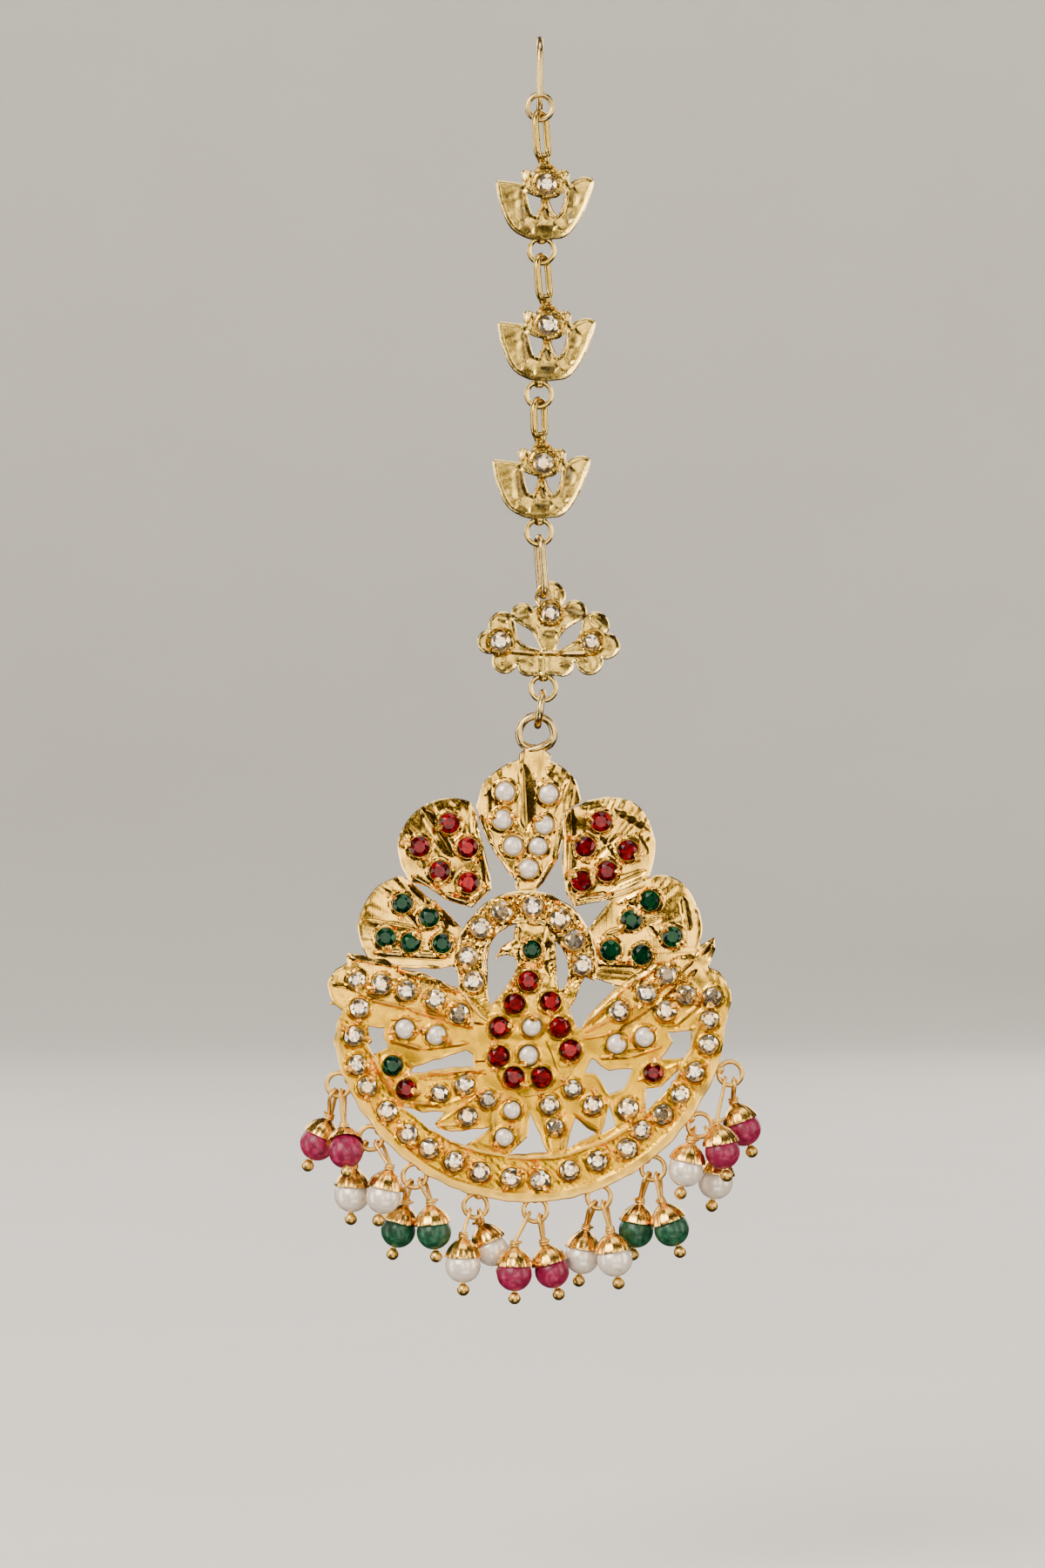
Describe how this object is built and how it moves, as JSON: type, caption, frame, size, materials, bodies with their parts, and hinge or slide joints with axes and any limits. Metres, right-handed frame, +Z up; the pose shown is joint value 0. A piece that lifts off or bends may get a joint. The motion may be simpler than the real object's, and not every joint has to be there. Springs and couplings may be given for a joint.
{
  "type": "maang tikka",
  "caption": "Forehead jewel: a hair hook, lotus and cloud plates as a chain, and a hanging pierced peacock pendant with stones, pearls and bead drops.",
  "frame": {"origin": "inside top of the hook's crook, where the hair carries the jewel", "axes": "+Z up along the hanging chain, -Y out of the front of the pendant, +X to the viewer's right"},
  "size_m": [0.0531, 0.0117, 0.1458],
  "materials": {
    "plate_gold": "polished gold-plated casting",
    "chain_gold": "pale gold plate over a patinated casting",
    "wire_gold": "polished gold-plated wire",
    "cap_gold": "polished fluted gold-plated cap",
    "clear_crystal": "faceted clear crystal with a foiled back",
    "red_glass": "faceted deep red glass with a foiled back",
    "green_glass": "faceted dark green glass with a foiled back",
    "seed_pearl": "lustrous half pearl",
    "pearl_bead": "lustrous round pearl",
    "pink_bead": "polished mottled magenta stone",
    "green_bead": "polished mottled green stone"
  },
  "bodies": {
    "chain": {"cloud_crystals": "clear_crystal", "cloud_link": "chain_gold", "cloud_plate": "chain_gold", "hook": "wire_gold", "lotus_lower": "chain_gold", "lotus_lower_crystal": "clear_crystal", "lotus_middle": "chain_gold", "lotus_middle_crystal": "clear_crystal", "lotus_top": "chain_gold", "lotus_top_crystal": "clear_crystal"},
    "pendant_link": {"pendant_link": "wire_gold"},
    "pendant": {"arch_crystals": "clear_crystal", "bead_1a": "pink_bead", "bead_1b": "pink_bead", "bead_2a": "pearl_bead", "bead_2b": "pearl_bead", "bead_3a": "green_bead", "bead_3b": "green_bead", "bead_4a": "pearl_bead", "bead_4b": "pearl_bead", "bead_5a": "pink_bead", "bead_5b": "pink_bead", "bead_6a": "pearl_bead", "bead_6b": "pearl_bead", "bead_7a": "green_bead", "bead_7b": "green_bead", "bead_8a": "pearl_bead", "bead_8b": "pearl_bead", "bead_9a": "pink_bead", "bead_9b": "pink_bead", "bead_caps": "cap_gold", "breast_pearls": "seed_pearl", "breast_rubies": "red_glass", "crescent_crystals": "clear_crystal", "feather_emeralds_left": "green_glass", "feather_emeralds_right": "green_glass", "feather_pearls": "seed_pearl", "feather_rubies_left": "red_glass", "feather_rubies_right": "red_glass", "head_emerald": "green_glass", "headpins_1": "wire_gold", "headpins_2": "wire_gold", "headpins_3": "wire_gold", "headpins_4": "wire_gold", "headpins_5": "wire_gold", "headpins_6": "wire_gold", "headpins_7": "wire_gold", "headpins_8": "wire_gold", "headpins_9": "wire_gold", "leaf_emerald": "green_glass", "leaf_rubies": "red_glass", "pendant_plate": "plate_gold", "tail_crystals_left": "clear_crystal", "tail_crystals_right": "clear_crystal", "tail_pearls": "seed_pearl", "wing_crystals_left": "clear_crystal", "wing_crystals_right": "clear_crystal", "wing_pearls_left": "seed_pearl", "wing_pearls_right": "seed_pearl"}
  },
  "joints": [
    {"name": "pendant_sideways_swing", "type": "hinge", "parent": "chain", "child": "pendant_link", "pos_m": [0.0004, -0.0027, -0.0744], "axis": [0, 1, 0], "range_deg": [-60, 60]},
    {"name": "pendant_fore_aft_swing", "type": "hinge", "parent": "pendant_link", "child": "pendant", "pos_m": [-0.0001, -0.0027, -0.07762], "axis": [1, 0, 0], "range_deg": [-75, 75]}
  ]
}
